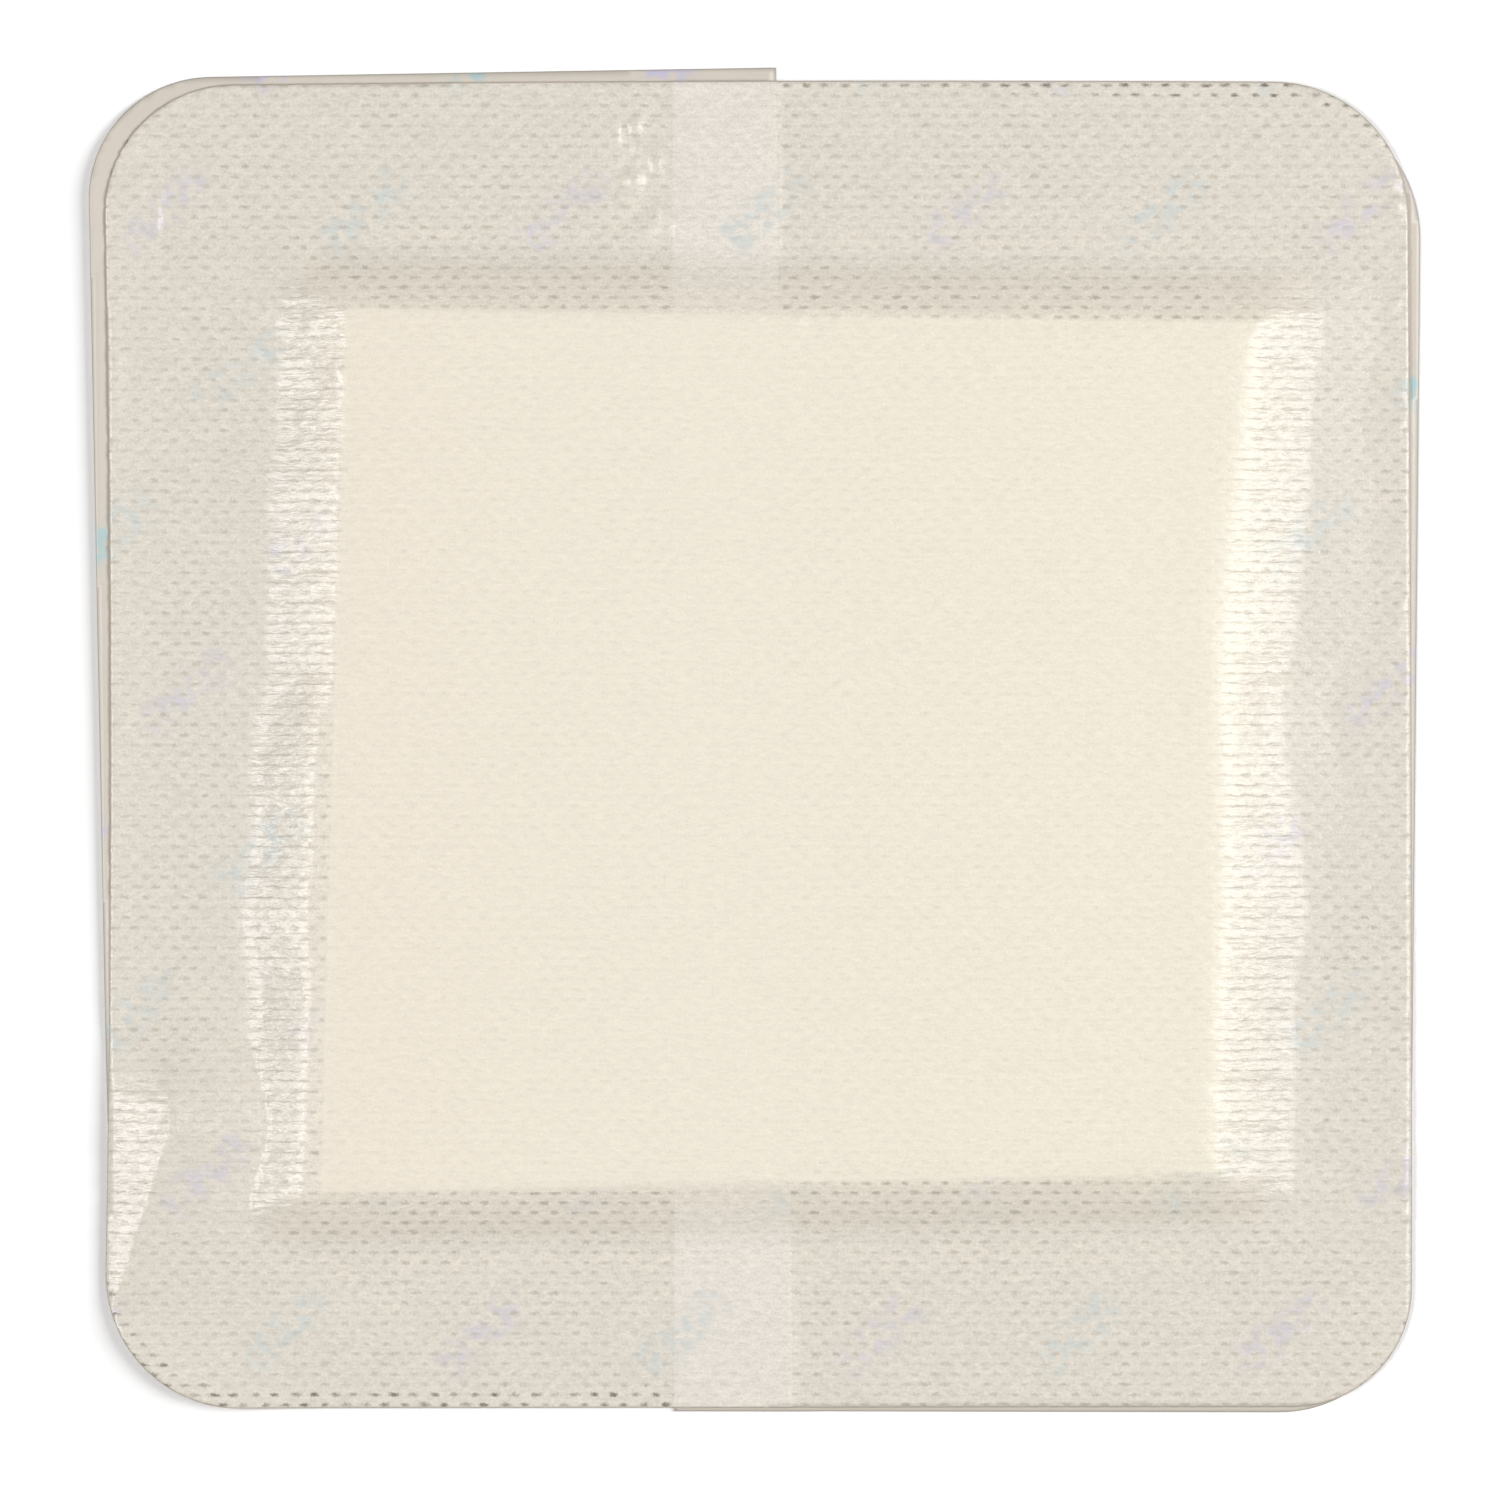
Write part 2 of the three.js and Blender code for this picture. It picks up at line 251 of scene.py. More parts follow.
# The x at which the inner cut of each paper passes the cover's top and bottom side
FLAP_X = (2.3, 4.2)
GRIP_X = (-9.6, -9.4)
cover_corners = skewed_rectangle(150.6, 152.9, (0, 0), COVER_SKEW)
pad_corners = skewed_rectangle(104.1, 99.8, (2.9, -0.4), PAD_SKEW)


def on_side(x, a, b):
    return np.interp(x, [a[0], b[0]], [a[1], b[1]])


top_left, top_right, bottom_right, bottom_left = cover_corners
left_corners = np.array([
    (top_left[0] - 2.1, top_left[1] + 0.7),
    (FLAP_X[0], on_side(FLAP_X[0], top_left, top_right) + 1.8),
    (FLAP_X[1], on_side(FLAP_X[1], bottom_left, bottom_right) + 2.7),
    (bottom_left[0] + 0.75, bottom_left[1] + 2.2),
])
right_corners = np.array([
    (GRIP_X[0], on_side(GRIP_X[0], top_left, top_right) - 0.8),
    (top_right[0] + 1.6, top_right[1] - 2.1),
    (bottom_right[0] - 0.35, bottom_right[1] - 0.7),
    (GRIP_X[1], on_side(GRIP_X[1], bottom_left, bottom_right) - 0.4),
])

cad_cover = np.array([list(corner)[:2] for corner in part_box("backing_cover")]) / MM
own_cover = panel_outline(cover_corners, COVER_RADII, COVER_BOWS)
shift = (cad_cover.mean(axis=0) - (own_cover.min(axis=0) + own_cover.max(axis=0)) / 2).round(3)
cover_corners, pad_corners, left_corners, right_corners = (
    corners + shift for corners in (cover_corners, pad_corners, left_corners, right_corners)
)
cover_outline = panel_outline(cover_corners, COVER_RADII, COVER_BOWS)
pad_outline = panel_outline(pad_corners, PAD_RADII)
left_outline = panel_outline(left_corners, LEFT_RADII)
right_outline = panel_outline(right_corners, RIGHT_RADII)
print("origin moved by", shift, "mm; cover", np.ptp(cover_outline, axis=0).round(2), "mm")

# %% [markdown]
# ## Thin sheets from a grid
# A nonwoven and a paper are thin closed sheets with a clean cut edge. Each could be an outline
# filled with one face, but such a face can't be draped or embossed. Instead a fine grid is
# laid over the outline, the points near the cut are moved onto it, and the cells outside are
# left away. Every point then gets the height of the upper and the lower side, and a narrow
# wall closes the cut edge.

# %% Distance from the cut edge
def inward_distance(points, outline):
    """How far each point lies inside a closed outline, and the nearest point on the outline"""
    nearest = np.zeros_like(points)
    least = np.full(len(points), np.inf)
    inside = np.zeros(len(points), dtype=bool)
    for a, b in zip(outline, np.roll(outline, -1, axis=0)):
        edge = b - a
        if not edge.any():
            continue
        t = np.clip(((points - a) @ edge) / (edge @ edge), 0, 1)
        foot = a + t[:, None] * edge
        gap = ((points - foot) ** 2).sum(axis=1)
        closer = gap < least
        least[closer] = gap[closer]
        nearest[closer] = foot[closer]
        if a[1] != b[1]:
            crosses = (a[1] > points[:, 1]) != (b[1] > points[:, 1])
            x_cross = a[0] + (points[:, 1] - a[1]) * edge[0] / edge[1]
            inside ^= crosses & (points[:, 0] < x_cross)
    return np.where(inside, 1, -1) * np.sqrt(least), nearest


origin_inside, _ = inward_distance(np.zeros((1, 2)), cover_outline)
print("the origin lies", round(float(origin_inside[0]), 1), "mm inside the cover's cut")

# %% Grid cut to an outline
# Points nearer to the cut than this share of a step are moved onto it
SNAP = 0.52
# A cell with all its corners on the cut counts if its middle lies this far inside, in mm
MIDDLE_INSIDE = 0.12
FAR_AWAY = 99


def cut_grid(step_x, step_y, outline, square_corners=()):
    """Grid points in mm with those near the cut moved onto it, and which of them are kept"""
    low = outline.min(axis=0)
    high = outline.max(axis=0)
    columns = np.arange(math.floor(low[0] / step_x) - 1, math.ceil(high[0] / step_x) + 2)
    rows = np.arange(math.floor(low[1] / step_y) - 1, math.ceil(high[1] / step_y) + 2)
    x, y = np.meshgrid(columns * step_x, rows * step_y)
    points = np.stack([x.ravel(), y.ravel()], axis=1)
    inward, nearest = inward_distance(points, outline)
    on_cut = np.abs(inward) < SNAP * max(step_x, step_y)
    points[on_cut] = nearest[on_cut]
    for corner in square_corners:
        gap = ((points - corner) ** 2).sum(axis=1) + FAR_AWAY * ~on_cut
        points[np.argmin(gap)] = corner
    return {
        "points": points,
        "outline": outline,
        "on_cut": on_cut,
        "kept": on_cut | (inward > 0),
        "shape": x.shape,
        "step": (step_x, step_y),
    }


def cells_of(grid):
    """Corner numbers of every kept cell, anticlockwise from above"""
    count = grid["shape"][1]
    first = (np.arange(grid["shape"][0] - 1)[:, None] * count + np.arange(count - 1)).ravel()
    corners = np.stack([first, first + 1, first + count + 1, first + count], axis=1)
    kept = grid["kept"][corners]
    inner = kept & ~grid["on_cut"][corners]
    sure = inner.any(axis=1)
    unsure = (kept.sum(axis=1) >= 3) & ~sure
    weight = kept[unsure] / kept[unsure].sum(axis=1)[:, None]
    middles = (grid["points"][corners[unsure]] * weight[:, :, None]).sum(axis=1)
    sure[unsure] = inward_distance(middles, grid["outline"])[0] > MIDDLE_INSIDE
    whole = kept.all(axis=1) & sure
    clipped = (kept.sum(axis=1) == 3) & sure
    triangles = [tuple(c[k]) for c, k in zip(corners[clipped], kept[clipped])]
    return whole, corners, triangles

# %% Closed sheet
# On the underside, blocks of this many cells a side become one face if flat to 0.02 mm
BLOCK = 4
FLAT_ENOUGH = 0.02


def flat_blocks(grid, whole, heights):
    """Blocks of cells on the underside that are flat enough to be one face"""
    row_count, column_count = grid["shape"]
    whole_cells = whole.reshape(row_count - 1, column_count - 1)
    on_cut = grid["on_cut"].reshape(grid["shape"])
    z = heights.reshape(grid["shape"])
    across = np.linspace(0, 1, BLOCK + 1)
    found = set()
    for j in range(0, row_count - 1 - BLOCK, BLOCK):
        for i in range(0, column_count - 1 - BLOCK, BLOCK):
            if not whole_cells[j:j + BLOCK, i:i + BLOCK].all():
                continue
            if on_cut[j:j + BLOCK + 1, i:i + BLOCK + 1].any():
                continue
            patch = z[j:j + BLOCK + 1, i:i + BLOCK + 1]
            left = patch[0, 0] + (patch[-1, 0] - patch[0, 0]) * across
            right = patch[0, -1] + (patch[-1, -1] - patch[0, -1]) * across
            plane = left[:, None] + (right - left)[:, None] * across
            if np.abs(patch - plane).max() < FLAT_ENOUGH:
                found.add((j, i))
    return found


def underside_faces(grid, whole, corners, triangles, heights):
    """Faces of the underside, clockwise from above, with one face for each flat block"""
    count = grid["shape"][1]
    blocks = flat_blocks(grid, whole, heights)
    taken = np.zeros((grid["shape"][0] - 1, count - 1), dtype=bool)
    faces = []
    for j, i in sorted(blocks):
        taken[j:j + BLOCK, i:i + BLOCK] = True
        sides = [
            ((j - BLOCK, i), [(j, i + k) for k in range(BLOCK)]),
            ((j, i + BLOCK), [(j + k, i + BLOCK) for k in range(BLOCK)]),
            ((j + BLOCK, i), [(j + BLOCK, i + BLOCK - k) for k in range(BLOCK)]),
            ((j, i - BLOCK), [(j + BLOCK - k, i) for k in range(BLOCK)]),
        ]
        ring = []
        for neighbour, nodes in sides:
            ring.extend(nodes[:1] if neighbour in blocks else nodes)
        faces.append([row * count + column for row, column in reversed(ring)])
    left_over = whole & ~taken.ravel()
    faces.extend(list(reversed(c)) for c in corners[left_over].tolist())
    faces.extend(list(reversed(t)) for t in triangles)
    return faces


def closed_sheet(name, grid, upper, lower, material, edge_material=None, marks=None):
    """Object in metres from a cut grid and the heights of its two sides in mm"""
    whole, corners, triangles = cells_of(grid)
    top = corners[whole].tolist() + [list(t) for t in triangles]
    under = underside_faces(grid, whole, corners, triangles, lower)
    edges = {}
    for face in top:
        for a, b in zip(face, face[1:] + face[:1]):
            edges[(a, b)] = True
    # An edge of the top that no second face shares lies on the cut
    cut = [(a, b) for a, b in edges if (b, a) not in edges]
    used_top = np.unique(np.concatenate([np.array(f) for f in top]))
    used_under = np.unique(np.concatenate([np.array(f) for f in under]))
    number_top = {int(n): k for k, n in enumerate(used_top)}
    number_under = {int(n): k + len(used_top) for k, n in enumerate(used_under)}
    points = grid["points"]
    spots = np.vstack([
        np.column_stack([points[used_top], upper[used_top]]),
        np.column_stack([points[used_under], lower[used_under]]),
    ]) * MM
    faces = [[number_top[int(n)] for n in f] for f in top]
    faces += [[number_under[int(n)] for n in f] for f in under]
    walls = [(number_top[b], number_top[a], number_under[a], number_under[b]) for a, b in cut]
    mesh = bpy.data.meshes.new(name)
    mesh.from_pydata(spots.tolist(), [], faces + walls)
    smooth = np.ones(len(mesh.polygons), dtype=bool)
    smooth[len(faces):] = False
    mesh.polygons.foreach_set("use_smooth", smooth)
    for mark, values in (marks or {}).items():
        attribute = mesh.attributes.new(mark, "FLOAT", "POINT")
        attribute.data.foreach_set("value", np.concatenate([values[used_top], values[used_under]]))
    mesh.materials.append(material)
    if edge_material:
        mesh.materials.append(edge_material)
        slot = np.zeros(len(mesh.polygons), dtype=np.int32)
        slot[len(top):] = 1
        mesh.polygons.foreach_set("material_index", slot)
    mesh.update()
    piece = bpy.data.objects.new(name, mesh)
    bpy.context.scene.collection.objects.link(piece)
    triangles_made = sum(len(p.vertices) - 2 for p in mesh.polygons)
    print(name, "has", triangles_made, "triangles and", len(cut), "edges along its cut")
    return piece

# %% [markdown]
# ## Uneven surfaces
# Cloth and paper are never quite even. Smooth noise in millimetres comes from random numbers
# that are blurred more along one direction than along the other. Each call has its own seed,
# so every run gives the same surface.

# %% Smooth noise
def uneven(grid, length_x, length_y, seed):
    """Noise with a spread of 1 whose bumps are about these lengths in mm across"""
    rows, columns = grid["shape"]
    step_x, step_y = grid["step"]
    white = np.random.default_rng(seed).standard_normal((rows, columns))
    across = np.fft.fftfreq(columns, step_x)[None, :] * length_x
    along = np.fft.fftfreq(rows, step_y)[:, None] * length_y
    soft = np.exp(-2 * (across ** 2 + along ** 2) * (math.pi / 2) ** 2)
    noise = np.fft.ifft2(np.fft.fft2(white) * soft).real.ravel()
    return (noise - noise.mean()) / noise.std()


def ease(value, start, end):
    """0 before start, 1 after end, and a smooth step between them"""
    t = np.clip((value - start) / (end - start), 0, 1)
    return t * t * (3 - 2 * t)


def off_line(points, a, b):
    """Distance from the line through a and b, positive on its left"""
    way = (b - a) / np.linalg.norm(b - a)
    return way[0] * (points[:, 1] - a[1]) - way[1] * (points[:, 0] - a[0])


print("a smooth step passes through", ease(np.array([0, 0.25, 0.5, 1]), 0, 1).round(2))

# %% [markdown]
# ## Release papers: material
# Release liner is a dense glassine or kraft paper, calendered until it shines and coated with
# silicone, so that the adhesive lets go of it. The eye sees a smooth off-white sheet with a
# faint cloudiness from its fibres and a soft sheen. Liners carry a light print that helps to
# tell them from the dressing. Here that print is plain worn strokes in two pale inks.

# %% Print on the paper
# One stroke to a cell of this width and height in mm, each row set off by a share of a cell
PRINT_CELL = (23.0, 18.5)
PRINT_START = (0.35, 0.2)
ROW_OFFSET = 0.37
STROKE_LEAN = math.radians(42)
STROKE_RUN = 6.0
STROKE_HALF_WIDTH = 2.0
STROKE_FADE = 1.2
BLOTCHES_PER_MM = 0.55
WORN_RANGE = (0.42, 0.62)


def print_strokes(tree, x, y):
    """1 where a stroke is printed, and 0 or 0.5 to tell the two inks apart"""
    cell_y = add(tree, MATH, [y, 1 / PRINT_CELL[1], PRINT_START[1]], operation="MULTIPLY_ADD")
    row = add(tree, MATH, [cell_y], operation="FLOOR")
    moved = add(tree, MATH, [row, ROW_OFFSET, PRINT_START[0]], operation="MULTIPLY_ADD")
    cell_x = add(tree, MATH, [x, 1 / PRINT_CELL[0], moved], operation="MULTIPLY_ADD")
    local = []
    for cell, size in ((cell_x, PRINT_CELL[0]), (cell_y, PRINT_CELL[1])):
        part = add(tree, MATH, [cell], operation="FRACT")
        local.append(add(tree, RAMP, {"Value": part, "To Min": -size / 2, "To Max": size / 2}))
    number = add(tree, MATH, [row, add(tree, MATH, [cell_x], operation="FLOOR")], operation="ADD")
    halved = add(tree, MATH, [number, 0.5], operation="MULTIPLY")
    odd_half = add(tree, MATH, [halved], operation="FRACT")
    turned = add(tree, "ShaderNodeVectorRotate", {
        "Vector": add(tree, "ShaderNodeCombineXYZ", local), "Angle": -STROKE_LEAN,
    }, rotation_type="Z_AXIS")
    stroke = add(tree, "ShaderNodeSeparateXYZ", [turned], out=None)
    masks = []
    for way, half in (("X", STROKE_RUN), ("Y", STROKE_HALF_WIDTH)):
        masks.append(add(tree, RAMP, {
            "Value": add(tree, MATH, [stroke.outputs[way]], operation="ABSOLUTE"),
            "From Min": half - STROKE_FADE, "From Max": half + STROKE_FADE, "To Min": 1.0, "To Max": 0.0,
        }, interpolation_type="SMOOTHSTEP"))
    mask = add(tree, MATH, masks, operation="MULTIPLY")
    blotches = add(tree, "ShaderNodeTexNoise", {
        "Vector": add(tree, "ShaderNodeCombineXYZ", [x, y]), "Scale": BLOTCHES_PER_MM, "Detail": 1.0,
    })
    worn = add(tree, RAMP, {"Value": blotches, "From Min": WORN_RANGE[0], "From Max": WORN_RANGE[1]})
    return add(tree, MATH, [mask, worn], operation="MULTIPLY"), odd_half


def millimetres(tree):
    """Where a point lies on the object, in mm, and the x and y of that place"""
    in_metres = add(tree, "ShaderNodeTexCoord", out="Object")
    place = add(tree, "ShaderNodeVectorMath", {0: in_metres, "Scale": 1 / MM}, operation="SCALE")
    parts = add(tree, "ShaderNodeSeparateXYZ", [place], out=None)
    return place, parts.outputs["X"], parts.outputs["Y"]


print("a print stroke is", 2 * STROKE_RUN, "mm long, one to a cell of", PRINT_CELL, "mm")

# %% Glazed release paper
PAPER_WHITE = "#D2CABF"
PAPER_CLOUD = "#CAC2B6"
# The line along the paper's cut is darkened: painted shade of its edge.
PAPER_EDGE_SHADE = "#B2A99B"
INKS = ("#AFC6C6", "#C1BCCF")

glazed_paper = empty_material("glazed_silicone_release_paper")
tree = glazed_paper.node_tree
place, x, y = millimetres(tree)
clouds = add(tree, "ShaderNodeTexNoise", {
    "Vector": place, "Scale": 0.45, "Detail": 4.0, "Roughness": 0.6,
})
cloudy = add(tree, BLEND, {
    SHARE: clouds, NONE: linear(PAPER_WHITE), FULL: linear(PAPER_CLOUD),
}, **IN_COLOUR)
stroke, odd_half = print_strokes(tree, x, y)
ink_share = add(tree, MATH, [odd_half, 2.0], operation="MULTIPLY")
ink = add(tree, BLEND, {
    SHARE: ink_share, NONE: linear(INKS[0]), FULL: linear(INKS[1]),
}, **IN_COLOUR)
printed = add(tree, BLEND, {SHARE: stroke, NONE: cloudy, FULL: ink}, **IN_COLOUR)
# A narrow dark line along the cut stands for the shade of the paper's thin edge: painted shade.
rim_mm = add(tree, "ShaderNodeAttribute", attribute_name="rim_mm", out="Fac")
cut_edge_and_shade = add(tree, RAMP, {
    "Value": rim_mm, "From Min": 0.03, "From Max": 0.15, "To Min": 1.0, "To Max": 0.0,
})
paper_colour = add(tree, BLEND, {
    SHARE: cut_edge_and_shade, NONE: printed, FULL: linear(PAPER_EDGE_SHADE),
}, **IN_COLOUR)
# Paper fibres are finer than the render shows, so they are drawn at a third of a millimetre
fibres = add(tree, "ShaderNodeTexNoise", {"Vector": place, "Scale": 3.0, "Detail": 3.0})
relief = add(tree, "ShaderNodeBump", {"Height": fibres, "Distance": 0.01 * MM, "Strength": 0.5})
roughness = add(tree, RAMP, {"Value": clouds, "To Min": 0.32, "To Max": 0.45})
paper = add(tree, "ShaderNodeBsdfPrincipled", {
    "Base Color": paper_colour, "Roughness": roughness, "IOR": 1.5, "Normal": relief,
})
add(tree, "ShaderNodeOutputMaterial", {"Surface": paper}, out=None)
print(glazed_paper.name, "has", len(tree.nodes), "nodes")

# %% [markdown]
# ## Release papers: shape
# The left paper lies flat on the table and ends in a free flap near the middle. The right one
# lies over that flap and steps down past its edge, so a finger can grip it. Paper that has
# lain in a pouch curls a little: the left rim stands up by about a millimetre except near its
# lower end, and throws a soft shadow along that side.

# %% Shape of the papers
PAPER_THICKNESS = 0.15
LAY_GAP = 0.05
STEP_DOWN_LENGTH = 4.0
PAPER_STEP = 0.7
LEFT_RIM_X = 77
RIM_CURL = 1.3
CURL_WIDTH = 11.0
# The curl grows between these two y
CURL_FROM_TO = (-46, -30)


def left_curl(points):
    """How far the left rim stands up, in mm"""
    past = -points[:, 0] - (LEFT_RIM_X - CURL_WIDTH)
    return RIM_CURL * np.clip(past / CURL_WIDTH, 0, 1) ** 2 * ease(points[:, 1], *CURL_FROM_TO)


def right_paper_underside(points):
    past = off_line(points, left_corners[1], left_corners[2]) - LAY_GAP
    return (PAPER_THICKNESS + LAY_GAP) * (1 - ease(past, 0, STEP_DOWN_LENGTH - LAY_GAP))


papers = {}
for name, outline, square in (
    ("liner_left", left_outline, left_corners[1:3]),
    ("liner_right", right_outline, right_corners[[0, 3]]),
):
    grid = cut_grid(PAPER_STEP, PAPER_STEP, outline, square)
    if name == "liner_left":
        underside = left_curl(grid["points"])
    else:
        underside = right_paper_underside(grid["points"])
    inward, _ = inward_distance(grid["points"], outline)
    rim = {"rim_mm": np.where(grid["on_cut"], 0, inward)}
    upper = underside + PAPER_THICKNESS
    papers[name] = closed_sheet(name + "_paper", grid, upper, underside, glazed_paper, marks=rim)

# %% [markdown]
# ## Backing cover: the drape
# The cover is a nonwoven laid over the pad. It lies flat on it, comes down the pad's sides in
# a tent, and sticks to the release papers all round. A cloth simulation could find such a
# shape, but here the photograph shows where the tent starts and ends on each side, so its
# profile is given for each side: the share of the full rise against the distance from the
# pad's edge in mm. A short blur rounds its corners, as a cloth does. The left and the right
# side have two profiles each, one for their upper and one for their lower part. On the left the
# slope starts at the pad's edge above and 2 mm outside it below, and runs out flatly. On the
# right it is steeper above than below.

# %% Profiles of the tent
PAD_UNDERSIDE = 0.40
PAD_THICKNESS = 4.0
PAD_RISE = PAD_UNDERSIDE + PAD_THICKNESS + LAY_GAP
PROFILE_STEP = 0.05
PROFILE_REACH = (-8, 20)
PROFILE_BLUR = 1.1

PROFILES = {
    "left_above": [(-1.2, 1), (-0.3, 0.98), (0.4, 0.93), (6.4, 0.3), (7.8, 0.2), (14, 0)],
    "left_below": [(-1, 1), (0, 0.985), (1.8, 0.925), (2.6, 0.86), (8.4, 0.2), (9.8, 0.12), (14, 0)],
    "right_above": [
        (-3.5, 1), (-2, 0.99), (-1, 0.965), (0, 0.925), (1, 0.86), (5.8, 0.3), (7.2, 0.19), (14, 0),
    ],
    "right_below": [
        (-3, 1), (-1.8, 0.99), (-0.9, 0.965), (0, 0.93), (1, 0.86), (7.8, 0.13), (9, 0.06), (12, 0),
    ],
    "top": [(-0.8, 1), (0, 0.96), (5.8, 0.12), (7.6, 0)],
    "bottom": [(-0.8, 1), (0, 0.96), (5.6, 0.12), (7.4, 0)],
}
# The cover doesn't leave the right side in a straight line. At each of these y the slope starts
# this many mm outside the pad's edge, here always inside it, and is this many times as long.
RIGHT_START_Y = (-42, -16, 5, 16, 34, 45)
RIGHT_START = (-0.3, -0.8, -2.2, -2.9, -1.3, -0.5)
RIGHT_STRETCH = (1, 1, 0.95, 1.25, 1.05, 1.05)
# The upper profile gives way to the lower one between these two -y
LEFT_TURN = (-10, 0)
RIGHT_TURN = (2, 14)
# Share of the width, length over 2 pi in mm and phase of the waves along the two sides
WAVER = ((0.05, 6.1, 1), (0.04, 2.7, 0))
LEAST_SQUARE = 1e-9


def rise_share(name, distance):
    knots = np.array(PROFILES[name])
    way = np.arange(*PROFILE_REACH, PROFILE_STEP)
    blur = np.hanning(round(PROFILE_BLUR / PROFILE_STEP))
    share = np.interp(way, knots[:, 0], knots[:, 1])
    padded = np.pad(share, len(blur), mode="edge")
    rounded = np.convolve(padded, blur / blur.sum(), mode="same")[len(blur):-len(blur)]
    return np.interp(distance, way, rounded)


def pad_distances(points):
    """Distances past the left, right, top and bottom edge of the pad"""
    pairs = ((3, 0), (1, 2), (0, 1), (2, 3))
    return [off_line(points, pad_corners[a], pad_corners[b]) for a, b in pairs]


def tent(points):
    """Share of the full rise, 1 over the pad and 0 where the cover lies on the papers"""
    past_left, past_right, past_top, past_bottom = pad_distances(points)
    y = points[:, 1]
    waver = 1
    for size, length, phase in WAVER:
        waver = waver + size * np.sin(y / length + phase)
    sideways = np.maximum(past_left, past_right) * waver
    lengthways = np.maximum(past_top, past_bottom)
    most = np.maximum(sideways, lengthways)
    round_corner = np.hypot(np.maximum(sideways, 0), np.maximum(lengthways, 0))
    distance = np.where(most < 0, most, round_corner)
    below = ease(-y, *LEFT_TURN)
    left = rise_share("left_above", distance) * (1 - below)
    left = left + rise_share("left_below", distance) * below
    below = ease(-y, *RIGHT_TURN)
    reach = distance - np.interp(y, RIGHT_START_Y, RIGHT_START)
    reach = reach / np.interp(y, RIGHT_START_Y, RIGHT_STRETCH)
    right = rise_share("right_above", reach) * (1 - below)
    right = right + rise_share("right_below", reach) * below
    side = np.where(past_left > past_right, left, right)
    top = rise_share("top", distance)
    bottom = rise_share("bottom", distance)
    end = np.where(past_top > past_bottom, top, bottom)
    weight = np.maximum(sideways, 0) ** 2 / np.maximum(round_corner ** 2, LEAST_SQUARE)
    return np.where(most < 0, np.minimum(side, end), side * weight + end * (1 - weight))


print("the cover rises", round(PAD_RISE, 2), "mm over the pad, in", len(PROFILES), "profiles")

# %% [markdown]
# ## Backing cover: where it lies and where it lifts
# Off the pad the cover lies on one paper or, near the middle, on two, so a low step shows
# where the papers overlap. Its left rim stands up with the paper's curl. At the lower left it
# has come loose: a crisp ridge runs down to the rim, and between the ridge and the rim lies a
# flat facet that leans to the left and shines. The corner below it stands up a little.

# %% Height of the cover's underside
RIDGE = ((-67.0, -45.0), (-73.6, -65.0))
RIM_X = -75.6
FACET_TILT = 0.4
FACET_RIM_LIFT = 0.6
RIDGE_FADE_IN = 19.0
RIDGE_FADE_UP = 15.0
# The fold dies away from this far below the ridge's foot to this far above it
RIDGE_FADE_DOWN = (-9, 3)
CORNER_LIFT = 1.5
# The corner starts to lift where -x and -y add up to this many mm, and is up 18 mm further on
CORNER_FROM = 124
CORNER_LENGTH = 18
# How far outside and inside the overlap its step in the cover starts and ends
STEP_FROM_TO = (-0.6, 0.4)


def overlap_distance(points):
    """How far a point lies inside the strip where two papers overlap"""
    from_left = off_line(points, right_corners[0], right_corners[3])
    from_right = -off_line(points, left_corners[1], left_corners[2])
    return np.minimum(from_left, from_right)


def fold_rise(points):
    """Height of the loose fold at the lower left, in mm"""
    x, y = points.T
    (x_peak, y_peak), (x_foot, y_foot) = RIDGE
    ridge_x = np.interp(y, [y_foot, y_peak], [x_foot, x_peak])
    above = np.clip((y - y_peak) / RIDGE_FADE_UP, 0, 1)
    fade = (1 - above) ** 2 * (1 + 2 * above) * ease(y, *(y_foot + way for way in RIDGE_FADE_DOWN))
    outer = FACET_TILT * (np.minimum(x, ridge_x) - RIM_X)
    inner = np.clip(1 - (x - ridge_x) / RIDGE_FADE_IN, 0, 1)
    return (FACET_RIM_LIFT + np.clip(outer, 0, None)) * np.where(x < ridge_x, 1, inner) * fade


def corner_lift(points):
    x, y = points.T
    return CORNER_LIFT * np.clip((-x - y - CORNER_FROM) / CORNER_LENGTH, 0, 1) ** 2


def cover_underside(points):
    one_paper = PAPER_THICKNESS + LAY_GAP
    papers_below = 1 + ease(overlap_distance(points), *STEP_FROM_TO)
    lying = one_paper * papers_below + left_curl(points)
    lifted = np.maximum((PAD_RISE - lying) * tent(points), fold_rise(points))
    return lying + np.maximum(lifted, corner_lift(points))


print("cover's underside at the middle:", cover_underside(np.zeros((1, 2))).round(2), "mm")

# %% [markdown]
# ## Foam pad
# The pad is a die-cut slab of open-cell polyurethane foam. The cover is drawn tight over it,
# so its upper edge is squeezed round. The foam is matt and cream, and its cells are about a
# third of a millimetre wide.

# %% Polyurethane foam
FOAM_CREAM = "#F1E9D6"
# The cells' hollows are painted a darker cream: painted shade in the cells.
FOAM_CELL_SHADE = "#DCCFB0"
FOAM_CELLS_PER_MM = 3.0

foam = empty_material("open_cell_polyurethane_foam")
tree = foam.node_tree
place, _, _ = millimetres(tree)
cells = add(tree, "ShaderNodeTexVoronoi", {
    "Vector": place, "Scale": FOAM_CELLS_PER_MM,
}, out="Distance")
cell_shade = add(tree, RAMP, {"Value": cells, "From Min": 0.1, "From Max": 0.6})
skin = add(tree, BLEND, {
    SHARE: cell_shade, NONE: linear(FOAM_CELL_SHADE), FULL: linear(FOAM_CREAM),
}, **IN_COLOUR)
relief = add(tree, "ShaderNodeBump", {"Height": cells, "Distance": 0.15 * MM})
slab = add(tree, "ShaderNodeBsdfPrincipled", {
    "Base Color": skin, "Roughness": 0.9, "IOR": 1.5, "Normal": relief,
})
add(tree, "ShaderNodeOutputMaterial", {"Surface": slab}, out=None)
print(foam.name, "has", len(tree.nodes), "nodes")

# %% Shape of the pad
PAD_STEP = 0.8
KNIFE_ROUND = 0.9
# The lower edge is rounded by this share of the upper one
LOWER_SHARE = 0.35

